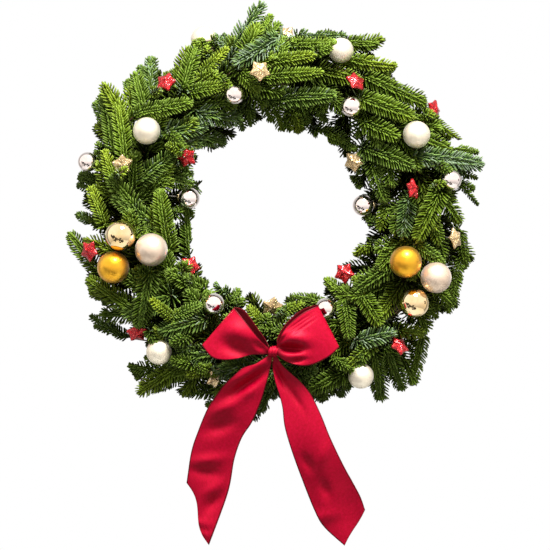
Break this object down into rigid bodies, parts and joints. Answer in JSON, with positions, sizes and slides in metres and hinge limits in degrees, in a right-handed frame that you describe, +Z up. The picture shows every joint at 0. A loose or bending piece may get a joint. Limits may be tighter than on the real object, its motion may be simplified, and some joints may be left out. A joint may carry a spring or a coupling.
{
  "type": "christmas wreath",
  "caption": "Round hanging wreath of fir sprays wound on a flat-backed straw ring, set with baubles and glitter stars, with a satin ribbon bow at the bottom.",
  "frame": {"origin": "the hook's place inside the wire hanging loop, at the top of the wreath's back", "axes": "+Z up, +Y towards the wall, so the decorated front faces -Y; +X to the right as seen from the front"},
  "size_m": [0.4083, 0.0887, 0.5098],
  "materials": {
    "straw": "bound straw, matte",
    "wire_green": "green lacquered florist's wire",
    "fir_green": "fir needles with a waxy gloss, brown bark on the stems",
    "bauble_cream": "cream pearl lacquer",
    "bauble_rose": "mirror coat, rose gold",
    "bauble_champagne": "champagne pearl lacquer",
    "bauble_gold": "satin gold coat",
    "bauble_bright_gold": "mirror coat, light gold",
    "star_red": "red glitter",
    "star_gold": "pale gold glitter",
    "ribbon_crimson": "crimson satin ribbon"
  },
  "bodies": {
    "root": {"bauble_bottom_left": "bauble_cream", "bauble_bottom_right": "bauble_cream", "bauble_bow_left": "bauble_rose", "bauble_bow_right": "bauble_rose", "bauble_left_edge": "bauble_rose", "bauble_left_inner": "bauble_rose", "bauble_left_trio_inner": "bauble_champagne", "bauble_left_trio_outer": "bauble_gold", "bauble_left_trio_top": "bauble_bright_gold", "bauble_left_upper": "bauble_cream", "bauble_right_edge": "bauble_rose", "bauble_right_inner": "bauble_rose", "bauble_right_trio_bottom": "bauble_bright_gold", "bauble_right_trio_low": "bauble_gold", "bauble_right_trio_outer": "bauble_champagne", "bauble_right_upper": "bauble_cream", "bauble_top_inner_left": "bauble_rose", "bauble_top_inner_right": "bauble_rose", "bauble_top_left": "bauble_cream", "bauble_top_right": "bauble_cream", "binding_wire": "wire_green", "bow_knot": "ribbon_crimson", "bow_loops": "ribbon_crimson", "bow_wire": "wire_green", "fir_bunch_01": "fir_green", "fir_bunch_02": "fir_green", "fir_bunch_03": "fir_green", "fir_bunch_04": "fir_green", "fir_bunch_05": "fir_green", "fir_bunch_06": "fir_green", "fir_bunch_07": "fir_green", "fir_bunch_08": "fir_green", "fir_bunch_09": "fir_green", "fir_bunch_10": "fir_green", "fir_bunch_11": "fir_green", "fir_bunch_12": "fir_green", "fir_bunch_13": "fir_green", "fir_bunch_14": "fir_green", "fir_bunch_15": "fir_green", "fir_bunch_16": "fir_green", "ribbon_tail_left": "ribbon_crimson", "ribbon_tail_right": "ribbon_crimson", "star_bottom_inner": "star_gold", "star_bottom_left": "star_gold", "star_left_edge": "star_red", "star_left_inner": "star_red", "star_left_low": "star_red", "star_left_low_inner": "star_red", "star_left_upper": "star_gold", "star_right_inner": "star_gold", "star_right_low": "star_red", "star_right_low_edge": "star_gold", "star_right_low_inner": "star_red", "star_right_middle": "star_red", "star_right_top_edge": "star_red", "star_top": "star_gold", "star_top_back": "star_gold", "star_top_left": "star_red", "star_top_right": "star_red", "straw_ring": "straw"}
  },
  "joints": []
}
